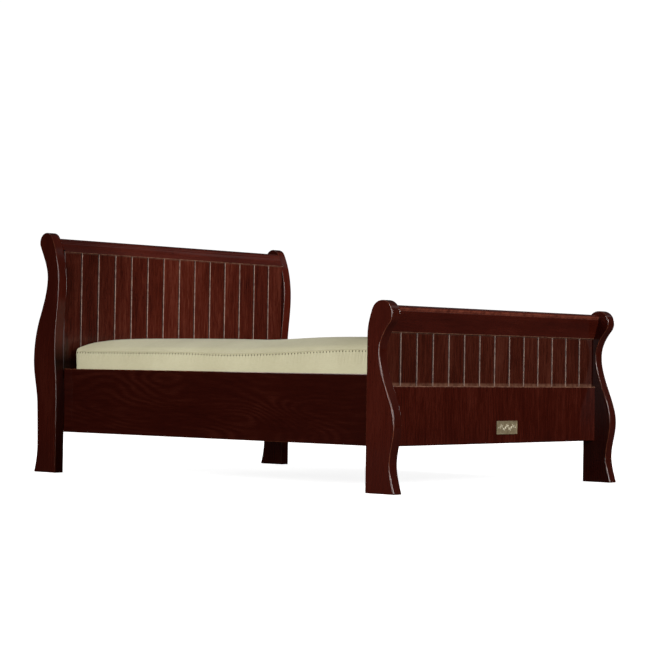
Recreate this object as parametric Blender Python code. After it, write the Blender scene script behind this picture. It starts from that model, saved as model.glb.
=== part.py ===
"""Sleigh bed: S-curved posts, boarded head and foot ends, side rails, slatted base and mattress.

Frame: metres, +Z up, floor at z = 0. X runs across the bed, Y runs from the foot end (-Y) to the
head end (+Y). The origin is on the floor, under the middle of the bed's outer box.
"""
import math

import bmesh
import bpy

# ---- driving dimensions -----------------------------------------------------------------------
GAP = 0.0003                 # clearance left between touching pieces

BED_WIDTH = 1.720            # over the outer faces of the posts
POST_THICKNESS = 0.055
FOOT_INNER_Y = -0.9997        # straight inner edge of the foot posts
HEAD_FRONT_Y = 0.9884         # straight front edge of the head posts, at the floor
ARRIS = 0.0045               # rounding of the long edges of the posts
RAIL_ARRIS = 0.0025
SLAT_ARRIS = 0.002
CURVE_STEP = 0.021           # spacing of the points along the posts' curved edges
CREST_STEP = 0.016           # spacing of the points along the crest rails' faces

SIDE_RAIL_THICKNESS = 0.028
SIDE_RAIL_BOTTOM = 0.2015
SIDE_RAIL_TOP = 0.514

LOWER_RAIL_BOTTOM = 0.2015
LOWER_RAIL_TOP = 0.4645
LOWER_RAIL_THICKNESS = 0.043
PANEL_GROOVE = 0.010         # depth of the slots that hold the boards' ends

BOARD_COUNT = 14
BOARD_THICKNESS = 0.018
BOARD_CHAMFER = 0.005
TONGUE_LENGTH = 0.006
TONGUE_THICKNESS = 0.004
TONGUE_SLACK = 0.0004        # clearance on each face of the tongue
TONGUE_END_SLACK = 0.0006    # clearance beyond its tip

HEAD_CREST_BOTTOM = 1.091
FOOT_CREST_BOTTOM = 0.697
CREST_TOP_RISE = 0.022       # height of the bullnose above the ends of the crest's faces
# depths from the posts' straight edge to the faces of the panels and rails, towards the outside
HEAD_PANEL_DEPTH = 0.0155
HEAD_RAIL_DEPTH = 0.0075
FOOT_PANEL_DEPTH = 0.032
FOOT_RAIL_DEPTH = 0.024

SLAT_COUNT = 11
SLAT_WIDTH = 0.100
SLAT_THICKNESS = 0.020
SLAT_TOP = 0.425
LEDGER_WIDTH = 0.030
LEDGER_HEIGHT = 0.035
LEDGER_END_GAP = 0.004
SLAT_END_GAP = 0.001
BEAM_WIDTH = 0.050
BEAM_HEIGHT = 0.070
HANGER_SHEET = 0.003
HANGER_LENGTH = 0.040
HANGER_HEIGHT = 0.050

BRACKET_LEG = 0.050
BRACKET_SHEET = 0.004
BRACKET_HEIGHT = 0.100
BRACKET_BOTTOM = 0.235

PLATE_WIDTH = 0.160
PLATE_HEIGHT = 0.062
PLATE_THICKNESS = 0.003
PLATE_RIM = 0.006
PLATE_RECESS = 0.0012        # depth and slope of the sunk field inside the rim
PLATE_ARRIS = 0.0006
PLATE_CENTRE_X = 0.079
PLATE_BOTTOM = 0.2435

MATTRESS_WIDTH = 1.500
MATTRESS_LENGTH = 2.000
MATTRESS_CORNER = 0.032
MATTRESS_EDGE_TOP = 0.602    # height of the sewn edge above the floor
MATTRESS_CROWN = 0.680       # highest point of the puffed top
MATTRESS_LIFT = 0.0010       # it starts this far above the slats
MATTRESS_SEAM_ROUND = 0.010  # small rounding just below the sewn edge
MATTRESS_BASE_ROUND = 0.012
MATTRESS_SHOULDER = 0.075    # distance over which the puffed top rises most of its height
MATTRESS_RINGS = (0.010, 0.035, 0.080, 0.150, 0.260, 0.420)

# ---- derived sizes ----------------------------------------------------------------------------
HALF_WIDTH = BED_WIDTH / 2
INNER_HALF = HALF_WIDTH - POST_THICKNESS
BOARD_PITCH = 2 * INNER_HALF / BOARD_COUNT
RAIL_INNER_HALF = INNER_HALF - GAP - SIDE_RAIL_THICKNESS
FOOT_RAIL_INNER_Y = FOOT_INNER_Y - FOOT_RAIL_DEPTH
HEAD_RAIL_INNER_Y = HEAD_FRONT_Y + HEAD_RAIL_DEPTH
SLAT_BOTTOM = SLAT_TOP - SLAT_THICKNESS


# ---- small modelling helpers ------------------------------------------------------------------
def clear_scene():
    for obj in list(bpy.data.objects):
        bpy.data.objects.remove(obj, do_unlink=True)


def make_material(name, colour, roughness, metallic=0.0):
    material = bpy.data.materials.new(name)
    material.use_nodes = True
    shader = material.node_tree.nodes["Principled BSDF"]
    shader.inputs["Base Color"].default_value = (*colour, 1.0)
    shader.inputs["Roughness"].default_value = roughness
    shader.inputs["Metallic"].default_value = metallic
    return material


def add_object(name, bm, material):
    """Turn a bmesh into a named object with outward faces and one material."""
    bmesh.ops.recalc_face_normals(bm, faces=bm.faces)
    mesh = bpy.data.meshes.new(name)
    bm.to_mesh(mesh)
    bm.free()
    mesh.materials.append(material)
    obj = bpy.data.objects.new(name, mesh)
    bpy.context.scene.collection.objects.link(obj)
    return obj


def add_bevel(obj, width, segments=1, angle=30.0):
    bevel = obj.modifiers.new("arris", "BEVEL")
    bevel.width = width
    bevel.segments = segments
    bevel.limit_method = "ANGLE"
    bevel.angle_limit = math.radians(angle)
    bevel.use_clamp_overlap = True


def extrude_outline(outline, place, start, end):
    """Prism of a closed 2-D outline; place(a, b, c) puts outline point (a, b) at depth c."""
    bm = bmesh.new()
    near = [bm.verts.new(place(a, b, start)) for a, b in outline]
    far = [bm.verts.new(place(a, b, end)) for a, b in outline]
    bm.faces.new(near)
    bm.faces.new(far)
    count = len(outline)
    for i in range(count):
        j = (i + 1) % count
        bm.faces.new((near[i], near[j], far[j], far[i]))
    return bm


def box(name, low, high, material, arris=0.0):
    """Square-edged block between two corners."""
    outline = [(low[0], low[1]), (high[0], low[1]), (high[0], high[1]), (low[0], high[1])]
    bm = extrude_outline(outline, lambda x, y, z: (x, y, z), low[2], high[2])
    obj = add_object(name, bm, material)
    if arris:
        add_bevel(obj, arris)
    return obj


def hermite_edge(knots, steps):
    """Points (v, z) of a curved edge from knots (z, v, dv/dz), from low z to high z."""
    points = []
    for (z0, v0, m0), (z1, v1, m1) in zip(knots, knots[1:]):
        h = z1 - z0
        count = max(1, math.ceil(h / steps))
        for i in range(count):
            t = i / count
            v = ((2 * t**3 - 3 * t**2 + 1) * v0 + (t**3 - 2 * t**2 + t) * h * m0
                 + (3 * t**2 - 2 * t**3) * v1 + (t**3 - t**2) * h * m1)
            points.append((v, z0 + t * h))
    return points


def arc(centre, radius, first, last, count):
    """Points (v, z) on an arc between two angles in degrees, both ends included."""
    points = []
    for i in range(count + 1):
        angle = math.radians(first + (last - first) * i / count)
        points.append((centre[0] + radius * math.cos(angle), centre[1] + radius * math.sin(angle)))
    return points


def arc_knot(centre, radius, degrees):
    """The Hermite knot (z, v, dv/dz) that meets a circle tangentially."""
    angle = math.radians(degrees)
    v = centre[0] + radius * math.cos(angle)
    z = centre[1] + radius * math.sin(angle)
    return (z, v, -math.tan(angle))


# ---- posts ------------------------------------------------------------------------------------
def foot_post_outline():
    """Side view of a foot post: v is 0 at the straight inner edge and negative outwards."""
    centre, radius = (-0.080, 0.775), 0.060
    leave_outer, leave_inner = 222.0, 20.0
    outer = hermite_edge([
        (0.000, -0.162, 0.30),      # flared foot
        (0.128, -0.134, 0.00),      # ankle
        (0.290, -0.157, 0.00),      # belly
        (0.460, -0.109, 0.41),
        (0.612, -0.070, 0.00),      # neck
        arc_knot(centre, radius, leave_outer),
    ], CURVE_STEP)
    scroll = arc(centre, radius, leave_outer, leave_inner, 15)
    inner = hermite_edge([
        (0.000, 0.000, 0.0),
        (0.690, 0.000, 0.0),
    ], 1.0) + hermite_edge([
        (0.690, 0.000, 0.0),
        arc_knot(centre, radius, leave_inner),
    ], CURVE_STEP)
    return outer + scroll + list(reversed(inner))


def head_post_outline():
    """Side view of a head post: v is 0 at the straight front edge and positive backwards."""
    centre, radius = (0.092, 1.139), 0.048
    leave_back, leave_front = -25.0, 154.0
    back = hermite_edge([
        (0.000, 0.157, -0.30),      # flared foot
        (0.130, 0.1357, 0.00),
        (0.340, 0.141, 0.05),
        (0.555, 0.172, 0.00),       # belly
        (0.770, 0.1315, -0.40),
        (0.965, 0.0805, 0.00),      # neck
        arc_knot(centre, radius, leave_back),
    ], CURVE_STEP)
    scroll = arc(centre, radius, leave_back, leave_front, 15)
    front = hermite_edge([
        (0.000, 0.000, 0.0),
        (0.360, 0.000, 0.0),
    ], 1.0) + hermite_edge([
        (0.360, 0.000, 0.0),
        (0.640, 0.016, 0.0),
        (0.920, -0.004, 0.0),
    ], 2 * CURVE_STEP) + hermite_edge([
        (0.920, -0.004, 0.0),
        arc_knot(centre, radius, leave_front),
    ], CURVE_STEP)
    return back + scroll + list(reversed(front))


def make_post(name, outline, base_y, side, material):
    """A plank cut to its outline; side is -1 for the left post and +1 for the right one."""
    bm = extrude_outline(outline, lambda v, z, x: (x, base_y + v, z),
                         side * INNER_HALF, side * HALF_WIDTH)
    obj = add_object(name, bm, material)
    add_bevel(obj, ARRIS, segments=2, angle=50.0)
    obj.data.shade_smooth()
    obj.data.set_sharp_from_angle(angle=math.radians(50))
    return obj


# ---- head and foot ends -----------------------------------------------------------------------
def make_cross_rail(name, outline, base_y, material):
    """A rail between two posts, cut to its cross-section (v, z) all along X."""
    reach = INNER_HALF - GAP
    bm = extrude_outline(outline, lambda v, z, x: (x, base_y + v, z), -reach, reach)
    obj = add_object(name, bm, material)
    obj.data.shade_smooth()
    obj.data.set_sharp_from_angle(angle=math.radians(40))
    return obj


def chamfer_corner(point, before, after, size):
    """Replace one outline corner by the two ends of a small chamfer."""
    result = []
    for other in (before, after):
        length = math.dist(point, other)
        t = size / length
        result.append((point[0] + t * (other[0] - point[0]), point[1] + t * (other[1] - point[1])))
    return result


def lower_rail_outline(face, outward, panel_face):
    """Flat rail with a slot in its top for the boards; face is the depth of its inner face."""
    back = face + outward * LOWER_RAIL_THICKNESS
    slot_a = panel_face - outward * GAP
    slot_b = panel_face + outward * (BOARD_THICKNESS + GAP)
    slot_floor = LOWER_RAIL_TOP - PANEL_GROOVE
    corners = [(face, LOWER_RAIL_BOTTOM), (back, LOWER_RAIL_BOTTOM), (back, LOWER_RAIL_TOP)]
    corners += [(slot_b, LOWER_RAIL_TOP), (slot_b, slot_floor), (slot_a, slot_floor)]
    corners += [(slot_a, LOWER_RAIL_TOP), (face, LOWER_RAIL_TOP)]
    outline = []
    for i, corner in enumerate(corners):
        if i in (0, 1, 2, 7):
            outline += chamfer_corner(corner, corners[i - 1], corners[(i + 1) % 8], RAIL_ARRIS)
        else:
            outline.append(corner)
    return outline


def crest_outline(bottom, lip_in, lip_out, outer_knots, inner_knots, top_in, top_out, panel_face,
                  outward):
    """Leaning crest rail: two curved faces, a rounded top and a slot below for the boards."""
    slot_a = panel_face - outward * GAP
    slot_b = panel_face + outward * (BOARD_THICKNESS + GAP)
    outer = hermite_edge([(bottom, lip_out, outer_knots[0][2])] + outer_knots, CREST_STEP)
    inner = hermite_edge([(bottom, lip_in, inner_knots[0][2])] + inner_knots, CREST_STEP)
    slot_roof = bottom + PANEL_GROOVE
    slot = [(slot_a, bottom), (slot_a, slot_roof), (slot_b, slot_roof), (slot_b, bottom)]
    return outer + round_top(top_out, top_in) + list(reversed(inner)) + slot


def round_top(start, end):
    """Bullnose between the tops of two faces: a half ellipse bulging upwards."""
    (v0, z0), (v1, z1) = start, end
    count = 10
    points = []
    for i in range(count + 1):
        angle = math.pi * i / count
        blend = (1 - math.cos(angle)) / 2
        bulge = CREST_TOP_RISE * math.sin(angle)
        points.append((v0 + (v1 - v0) * blend, z0 + (z1 - z0) * blend + bulge))
    return points


def foot_crest_outline():
    outer = [(0.750, -0.0735, -0.35), (0.7935, -0.0845, 0.0)]
    inner = [(0.750, -0.0270, -0.10), (0.7935, -0.0340, -0.20)]
    return crest_outline(FOOT_CREST_BOTTOM, -FOOT_RAIL_DEPTH, -0.058, outer, inner,
                         (-0.0340, 0.7935), (-0.0845, 0.7935), -FOOT_PANEL_DEPTH, -1)


def head_crest_outline():
    outer = [(1.115, 0.0640, 0.80), (1.140, 0.0860, 0.90)]
    inner = [(1.110, 0.0230, 0.75), (1.136, 0.0370, 0.50)]
    return crest_outline(HEAD_CREST_BOTTOM, HEAD_RAIL_DEPTH, 0.0430, outer, inner,
                         (0.0370, 1.136), (0.0860, 1.140), HEAD_PANEL_DEPTH, 1)


def board_outline(low, high, has_tongue):
    """Plan view of a board (x, v): chamfered long edges, a groove on the left, a tongue on the right."""
    mid = BOARD_THICKNESS / 2
    half = TONGUE_THICKNESS / 2
    wide = half + TONGUE_SLACK
    deep = low + TONGUE_LENGTH + TONGUE_END_SLACK
    c = BOARD_CHAMFER
    t = BOARD_THICKNESS
    left = [(low, t - c), (low, mid + wide), (deep, mid + wide),
            (deep, mid - wide), (low, mid - wide), (low, c)]
    right = [(high, c), (high, mid - half), (high + TONGUE_LENGTH, mid - half),
             (high + TONGUE_LENGTH, mid + half), (high, mid + half), (high, t - c)]
    if not has_tongue:
        right = [right[0], right[-1]]
    return [(low + c, t)] + left + [(low + c, 0.0), (high - c, 0.0)] + right + [(high - c, t)]


def make_boards(prefix, face_y, outward, bottom, top, material):
    """The row of tongue-and-groove boards between two rails."""
    for i in range(BOARD_COUNT):
        low = -INNER_HALF + i * BOARD_PITCH + GAP
        high = low + BOARD_PITCH - 2 * GAP
        outline = board_outline(low, high, i < BOARD_COUNT - 1)
        bm = extrude_outline(outline, lambda x, v, z: (x, face_y + outward * v, z), bottom, top)
        add_object(f"{prefix}_board_{i + 1:02d}", bm, material)


# ---- base ------------------------------------------------------------------------------------
def make_base(wood, pine, steel):
    """Side rails, ledgers, centre beam with its hangers, corner brackets and slats."""
    rail_low_y = FOOT_RAIL_INNER_Y + GAP
    rail_high_y = HEAD_RAIL_INNER_Y - GAP
    for side, label in ((-1, "left"), (1, "right")):
        outer = side * (INNER_HALF - GAP)
        inner = side * RAIL_INNER_HALF
        low_x, high_x = sorted((outer, inner))
        box(f"side_rail_{label}", (low_x, rail_low_y, SIDE_RAIL_BOTTOM),
            (high_x, rail_high_y, SIDE_RAIL_TOP), wood, RAIL_ARRIS)
        low_x, high_x = sorted((inner - side * GAP, inner - side * (GAP + LEDGER_WIDTH)))
        ledger_top = SLAT_BOTTOM - GAP
        box(f"slat_ledger_{label}", (low_x, rail_low_y + LEDGER_END_GAP, ledger_top - LEDGER_HEIGHT),
            (high_x, rail_high_y - LEDGER_END_GAP, ledger_top), pine)
        for end, label_y, rail_y in ((-1, "foot", rail_low_y), (1, "head", rail_high_y)):
            make_bracket(f"corner_bracket_{label_y}_{label}", side, end, rail_y, steel)
    make_beam(rail_low_y, rail_high_y, pine, steel)
    make_slats(pine)


def make_bracket(name, side, end, rail_y, steel):
    """Steel angle in the corner between a side rail and a cross rail."""
    corner_x = side * (RAIL_INNER_HALF - GAP)
    corner_y = rail_y - end * GAP
    leg, sheet = BRACKET_LEG, BRACKET_SHEET
    outline = [(0, 0), (leg, 0), (leg, sheet), (sheet, sheet), (sheet, leg), (0, leg)]
    bm = extrude_outline(outline, lambda a, b, z: (corner_x - side * a, corner_y - end * b, z),
                         BRACKET_BOTTOM, BRACKET_BOTTOM + BRACKET_HEIGHT)
    return add_object(name, bm, steel)


def make_beam(low_y, high_y, pine, steel):
    """Centre beam under the slats, held at each end in a folded steel hanger."""
    beam_top = SLAT_BOTTOM - GAP
    beam_bottom = beam_top - BEAM_HEIGHT
    room = HANGER_SHEET + 3 * GAP
    half = BEAM_WIDTH / 2
    box("centre_beam", (-half, low_y + room, beam_bottom), (half, high_y - room, beam_top), pine)
    wide = half + GAP + HANGER_SHEET
    for end, label, rail_y in ((-1, "foot", low_y), (1, "head", high_y)):
        back = rail_y - end * GAP
        front = back - end * HANGER_LENGTH
        bottom = beam_bottom - GAP - HANGER_SHEET
        low_y_h, high_y_h = sorted((back, front))
        hanger = box(f"beam_hanger_{label}", (-wide, low_y_h, bottom),
                     (wide, high_y_h, bottom + HANGER_HEIGHT), steel)
        pocket = half + GAP
        low_c, high_c = sorted((back - end * HANGER_SHEET, front - end * HANGER_LENGTH))
        cutter = box(f"beam_hanger_{label}_pocket", (-pocket, low_c, bottom + HANGER_SHEET),
                     (pocket, high_c, bottom + 2 * HANGER_HEIGHT), steel)
        cutter.hide_render = True
        cutter.display_type = "WIRE"
        cut = hanger.modifiers.new("pocket", "BOOLEAN")
        cut.operation = "DIFFERENCE"
        cut.object = cutter


def make_slats(pine):
    span = HEAD_RAIL_INNER_Y - FOOT_RAIL_INNER_Y
    gap = (span - SLAT_COUNT * SLAT_WIDTH) / (SLAT_COUNT + 1)
    reach = RAIL_INNER_HALF - SLAT_END_GAP
    for i in range(SLAT_COUNT):
        low_y = FOOT_RAIL_INNER_Y + gap + i * (SLAT_WIDTH + gap)
        box(f"slat_{i + 1:02d}", (-reach, low_y, SLAT_BOTTOM),
            (reach, low_y + SLAT_WIDTH, SLAT_TOP), pine, SLAT_ARRIS)


# ---- plate and mattress ------------------------------------------------------------------------
def make_plate(brass):
    """Small plate with a raised rim on the outer face of the foot end's lower rail."""
    face_y = FOOT_RAIL_INNER_Y - LOWER_RAIL_THICKNESS - GAP
    half = PLATE_WIDTH / 2
    low, high = PLATE_BOTTOM, PLATE_BOTTOM + PLATE_HEIGHT
    outline = [(-half, low), (half, low), (half, high), (-half, high)]
    bm = extrude_outline(outline, lambda x, z, y: (PLATE_CENTRE_X + x, y, z),
                         face_y, face_y - PLATE_THICKNESS)
    bmesh.ops.recalc_face_normals(bm, faces=bm.faces)
    front = [face for face in bm.faces if face.normal.y < -0.9]
    bmesh.ops.inset_region(bm, faces=front, thickness=PLATE_RIM, depth=0.0)
    bmesh.ops.inset_region(bm, faces=front, thickness=PLATE_RECESS, depth=-PLATE_RECESS)
    obj = add_object("name_plate", bm, brass)
    add_bevel(obj, PLATE_ARRIS)


def rounded_ring(half_x, half_y, radius, per_corner=5):
    """Rounded rectangle in plan, counter-clockwise, as (x, y) points."""
    points = []
    for quadrant, (sx, sy) in enumerate(((1, 1), (-1, 1), (-1, -1), (1, -1))):
        for i in range(per_corner + 1):
            angle = math.radians(90 * quadrant + 90 * i / per_corner)
            points.append((sx * (half_x - radius) + radius * math.cos(angle),
                           sy * (half_y - radius) + radius * math.sin(angle)))
    return points


def make_mattress(ticking):
    """Boxed mattress with a crowned top, built as stacked rounded rings."""
    centre_y = (FOOT_RAIL_INNER_Y + HEAD_RAIL_INNER_Y) / 2
    bottom = SLAT_TOP + MATTRESS_LIFT
    rings = [(MATTRESS_BASE_ROUND, bottom), (0.0, bottom + MATTRESS_BASE_ROUND),
             (0.0, MATTRESS_EDGE_TOP - MATTRESS_SEAM_ROUND)]
    rise = MATTRESS_CROWN - MATTRESS_EDGE_TOP
    for inset in MATTRESS_RINGS:
        height = 1.0 - math.exp(-inset / MATTRESS_SHOULDER)
        rings.append((inset, MATTRESS_EDGE_TOP + rise * height))
    bm = bmesh.new()
    loops = []
    for inset, z in rings:
        ring = rounded_ring(MATTRESS_WIDTH / 2 - inset, MATTRESS_LENGTH / 2 - inset,
                            MATTRESS_CORNER + 0.4 * inset)
        loops.append([bm.verts.new((x, centre_y + y, z)) for x, y in ring])
    count = len(loops[0])
    for lower, upper in zip(loops, loops[1:]):
        for i in range(count):
            j = (i + 1) % count
            bm.faces.new((lower[i], lower[j], upper[j], upper[i]))
    bm.faces.new(loops[0])
    bm.faces.new(loops[-1])
    obj = add_object("mattress", bm, ticking)
    obj.data.shade_smooth()
    obj.data.set_sharp_from_angle(angle=math.radians(50))


def main():
    clear_scene()
    cherry = make_material("cherry_lacquer", (0.060, 0.010, 0.007), 0.30)
    pine = make_material("pine_base", (0.62, 0.44, 0.26), 0.60)
    steel = make_material("zinc_steel", (0.55, 0.56, 0.58), 0.35, 1.0)
    brass = make_material("brass_plate", (0.62, 0.47, 0.25), 0.35, 1.0)
    ticking = make_material("mattress_ticking", (0.55, 0.50, 0.32), 0.90)

    for side, label in ((-1, "left"), (1, "right")):
        make_post(f"foot_post_{label}", foot_post_outline(), FOOT_INNER_Y, side, cherry)
        make_post(f"head_post_{label}", head_post_outline(), HEAD_FRONT_Y, side, cherry)

    make_cross_rail("foot_lower_rail", lower_rail_outline(-FOOT_RAIL_DEPTH, -1, -FOOT_PANEL_DEPTH),
                    FOOT_INNER_Y, cherry)
    make_cross_rail("head_lower_rail", lower_rail_outline(HEAD_RAIL_DEPTH, 1, HEAD_PANEL_DEPTH),
                    HEAD_FRONT_Y, cherry)
    make_cross_rail("foot_crest_rail", foot_crest_outline(), FOOT_INNER_Y, cherry)
    make_cross_rail("head_crest_rail", head_crest_outline(), HEAD_FRONT_Y, cherry)

    boards_bottom = LOWER_RAIL_TOP - PANEL_GROOVE + GAP
    make_boards("foot", FOOT_INNER_Y - FOOT_PANEL_DEPTH, -1, boards_bottom,
                FOOT_CREST_BOTTOM + PANEL_GROOVE - GAP, cherry)
    make_boards("head", HEAD_FRONT_Y + HEAD_PANEL_DEPTH, 1, boards_bottom,
                HEAD_CREST_BOTTOM + PANEL_GROOVE - GAP, cherry)

    make_base(cherry, pine, steel)
    make_plate(brass)
    make_mattress(ticking)


main()
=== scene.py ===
"""Looks of the sleigh bed: lacquered cherry, pine base, steel fittings, brass plate and mattress.

Frame: metres, +Z up, floor at z = 0, X across the bed, Y from the foot end (-Y) to the head end.
Bodies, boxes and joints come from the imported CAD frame; the shapes here refine what it holds.
"""

import math

import bmesh
import bpy
import numpy as np
from mathutils import Matrix, Vector, noise
from mathutils.bvhtree import BVHTree


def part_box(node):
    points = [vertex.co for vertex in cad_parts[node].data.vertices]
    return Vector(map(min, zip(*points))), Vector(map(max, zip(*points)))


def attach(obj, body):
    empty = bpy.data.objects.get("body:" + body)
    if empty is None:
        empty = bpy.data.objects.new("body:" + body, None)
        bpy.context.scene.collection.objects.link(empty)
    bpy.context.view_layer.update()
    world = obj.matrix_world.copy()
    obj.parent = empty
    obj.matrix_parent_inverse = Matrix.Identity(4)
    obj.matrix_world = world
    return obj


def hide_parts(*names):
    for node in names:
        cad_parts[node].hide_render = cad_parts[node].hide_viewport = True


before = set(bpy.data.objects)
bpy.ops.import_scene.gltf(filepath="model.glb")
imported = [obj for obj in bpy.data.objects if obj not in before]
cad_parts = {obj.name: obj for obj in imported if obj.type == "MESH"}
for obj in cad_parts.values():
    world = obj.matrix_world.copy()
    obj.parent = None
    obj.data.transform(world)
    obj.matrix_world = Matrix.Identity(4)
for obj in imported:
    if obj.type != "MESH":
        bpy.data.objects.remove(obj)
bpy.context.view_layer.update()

# ---- sizes read from the frame ----
POST_LOW, POST_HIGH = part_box("foot_post_left")
HALF_WIDTH = -POST_LOW.x
INNER_HALF = -POST_HIGH.x
FOOT_INNER_Y = POST_HIGH.y
MATTRESS_LOW, MATTRESS_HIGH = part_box("mattress")
FOOT_CREST_LOW, FOOT_CREST_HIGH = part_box("foot_crest_rail")
CREST_REACH = FOOT_CREST_HIGH.x
HEAD_CREST_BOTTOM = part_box("head_crest_rail")[0].z
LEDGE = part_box("foot_lower_rail")[1].z
BOARD_COUNT = sum(name.startswith("foot_board_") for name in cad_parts)
BOARD_PITCH = 2 * INNER_HALF / BOARD_COUNT

# ---- sizes of the posts and crest rails ----
CURVE_STEP = 0.009           # spacing of the points along the posts' curved edges
CREST_STEP = 0.006           # the same along the crest rails' faces
POST_ARRIS = 0.0045
CREST_ARRIS = 0.0016
HEAD_FRONT_Y = 0.9884        # straight front edge of the head posts
FOOT_RAIL_DEPTH = 0.024      # depths of the rails and boards behind the posts' inner edges
HEAD_RAIL_DEPTH = 0.0075
FOOT_PANEL_DEPTH = 0.032
HEAD_PANEL_DEPTH = 0.0155
BOARD_THICKNESS = 0.018
PANEL_GROOVE = 0.010         # depth of the slot that holds the boards' ends
GAP = 0.0003                 # clearance between touching pieces
CREST_TOP_RISE = 0.022       # height of the rounded top above the crest's faces
BEAD_RADIUS = 0.0115
BEAD_LEVEL = FOOT_CREST_HIGH.z - BEAD_RADIUS - 0.005

# ---- sizes of the mattress ----
MATTRESS_INSET = 0.001       # the cover starts this far inside the CAD block
MATTRESS_CORNER = 0.025
SEAM_HEIGHT = 0.602          # sewn edge above the floor, where it lies level
SEAM_PUSH = 0.020            # how far it is pushed up at the foot end
SEAM_PUSH_START = -0.25      # where the push begins, and the length over which it grows
SEAM_PUSH_LENGTH = 0.62
SEAM_SAG = 0.006
SEAM_SAG_HALF = 0.18
SEAM_FADE = 0.25             # distance over which the top forgets the seam's rise and sag
TOP_TUCK = 0.0025            # the sewn edge is drawn in this far, and the bottom edge further
BASE_TUCK = 0.006
EDGE_LINES = (0.0, 0.004, 0.010, 0.018, 0.028, 0.042, 0.060, 0.082, 0.108)
GRID_STEP = 0.024
BORDER_ROWS = 12
BORDER_CROWDING = 1.25       # above 1 the rows of the border get closer towards the seam
PUFF_FRAMES = 20
PUFF_CAP = 0.007             # no point of the cover moves further than this as it is puffed up
SEAM_STEP = 0.010            # spacing of the points along the seam tapes
SEAM_RADIUS = 0.0024
SEAM_DROP = 0.001            # the tapes lie this far below the edge they cover
BASE_SEAM_RISE = 0.010
STITCH_PITCH = 0.0190
STITCH_DROP = 0.008          # the row of stitches below the seam
STITCH_HALVES = (0.0028, 0.0046, 0.0014)   # half sizes along the row, upwards and outwards
PUCKER_START = (0.545, 0.590)              # heights between which the puckers begin and end
PUCKER_END = (0.604, 0.626)

# ---- sizes of the fittings ----
SCREW_SIDES = 18
PAN_HEAD = ((1.0, 0.0), (1.0, 0.25), (0.90, 0.46), (0.66, 0.60), (0.46, 0.62), (0.42, 0.58), (0.40, 0.18))
FLAT_HEAD = ((1.0, 0.0), (1.0, 0.06), (0.94, 0.09), (0.46, 0.09), (0.42, 0.05), (0.36, 0.02))
BRACKET_SCREW = 0.0050       # radii of the screws' heads
HANGER_SCREW = 0.0042
SLAT_SCREW = 0.0045
PLATE_PIN = 0.0032
SEATING = 0.0001             # a head sits this deep in what it holds
BRACKET_SHEET = 0.004
BRACKET_MIDDLE = 0.031       # screws from the bracket's corner, and from its top and bottom
BRACKET_MARGIN = 0.024
HANGER_SCREW_RISE = 0.030
SLAT_MARGINS = (0.015, 0.026)              # slat screws from its ends and from its long edges
VINE_DEPTH = 0.0010          # the vine's middle lies this far behind the plate's front
VINE_MARGIN = 0.024
VINE_SWING = 0.0085
VINE_WAVES = 2.5
VINE_POINTS = 60
VINE_RADIUS = 0.0015
LEAF_COUNT = 20
LEAF_OFFSET = 0.0052
LEAF_HALVES = (0.0046, 0.0013, 0.0019)
LEAF_TILT = 38.0
PIN_MARGIN = 0.014

# ---- camera and studio ----
CAMERA_PLACE = (-7.949, -6.909, 0.5458)
CAMERA_YAW = 40.945          # looking direction, degrees from +X towards +Y
CAMERA_PITCH = 1.104
CAMERA_ROLL = 0.861
CAMERA_LENS = 118.28
CAMERA_SENSOR = 36.0
FLOOR_HALF = 60.0
FLOOR_GLOW = (0.84, 1.05)    # within the first of the two radii and beyond the second
FLOOR_GLOW_REACH = (1.2, 5.0)
FLOOR_DIM = 0.035            # the floor as the lacquer mirrors it
WALL_LIGHT = 0.02            # the room's own light, near the floor and overhead
CEILING_LIGHT = 0.11
BACKDROP_WHITE = 1.05
SOFT_BOXES = {               # place, aim, size across and upwards, power in watts
    "left_box": ((-5.4, -0.25, 1.45), (-0.4, -0.1, 0.9), (1.2, 2.6), 224.0),
    "foot_box": ((0.3, -6.4, 2.6), (0.1, -0.8, 0.9), (1.5, 1.8), 275.0),
    "bead_box": ((5.1, -2.7, 4.5), (0.0, -1.1, 0.9), (2.6, 1.6), 4.0),
    "camera_box": ((-3.9, -4.55, 1.0), (0.0, -0.1, 0.6), (4.4, 1.6), 47.0),
    "top_box": ((-1.0, 2.2, 4.2), (0.0, 0.0, 0.6), (1.6, 1.6), 36.0),
    "back_box": ((-0.8, 6.2, 1.9), (0.0, 0.9, 0.7), (2.0, 1.5), 95.0),
    "right_box": ((6.2, -0.4, 1.6), (0.8, 0.0, 0.6), (1.5, 1.5), 85.0),
}

# ---- wood colours, marks and painted light ----
DARK_CHERRY = (0.0190, 0.0024, 0.0012)
MIDDLE_CHERRY = (0.0440, 0.0066, 0.0032)
LIGHT_CHERRY = (0.0820, 0.0180, 0.0100)
PORE_BROWN = (0.006, 0.0012, 0.0008)
GROOVE_BROWN = (0.008, 0.0016, 0.0010)
RUBBED_AND_HIGHLIGHT_CHERRY = (0.125, 0.036, 0.017)      # rounded edges of the posts and side rails: rubbed lacquer with a painted highlight
BARE_AND_HIGHLIGHT_EDGE = (0.30, 0.175, 0.125)           # brims of the joints between the boards: bare wood with a painted highlight
WORN_AND_HIGHLIGHT_EDGE = (0.24, 0.120, 0.075)           # level lines: painted highlight along the ledges, rubbed wood under the crests
BEAD_WEAR_AND_HIGHLIGHT = (0.21, 0.052, 0.030)           # the bead on the foot end's crest: rubbed wood with a painted highlight
BROAD_STRETCH = (7.0, 7.0, 2.2)            # noise per metre: twice across the grain, then along it
BAND_STRETCH = (60.0, 60.0, 3.4)
FINE_STRETCH = (240.0, 240.0, 14.0)
PORE_STRETCH = (900.0, 900.0, 42.0)
SWIRL_STRETCH = (4.2, 4.2, 1.1)
PATCH_SCALE = 34.0
BOARD_SHIFT = (5.0, 5.0, 5.0)              # each board is cut from its own part of the wood
GRAIN_WANDER = (0.05, 0.05, 0.0)
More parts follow.
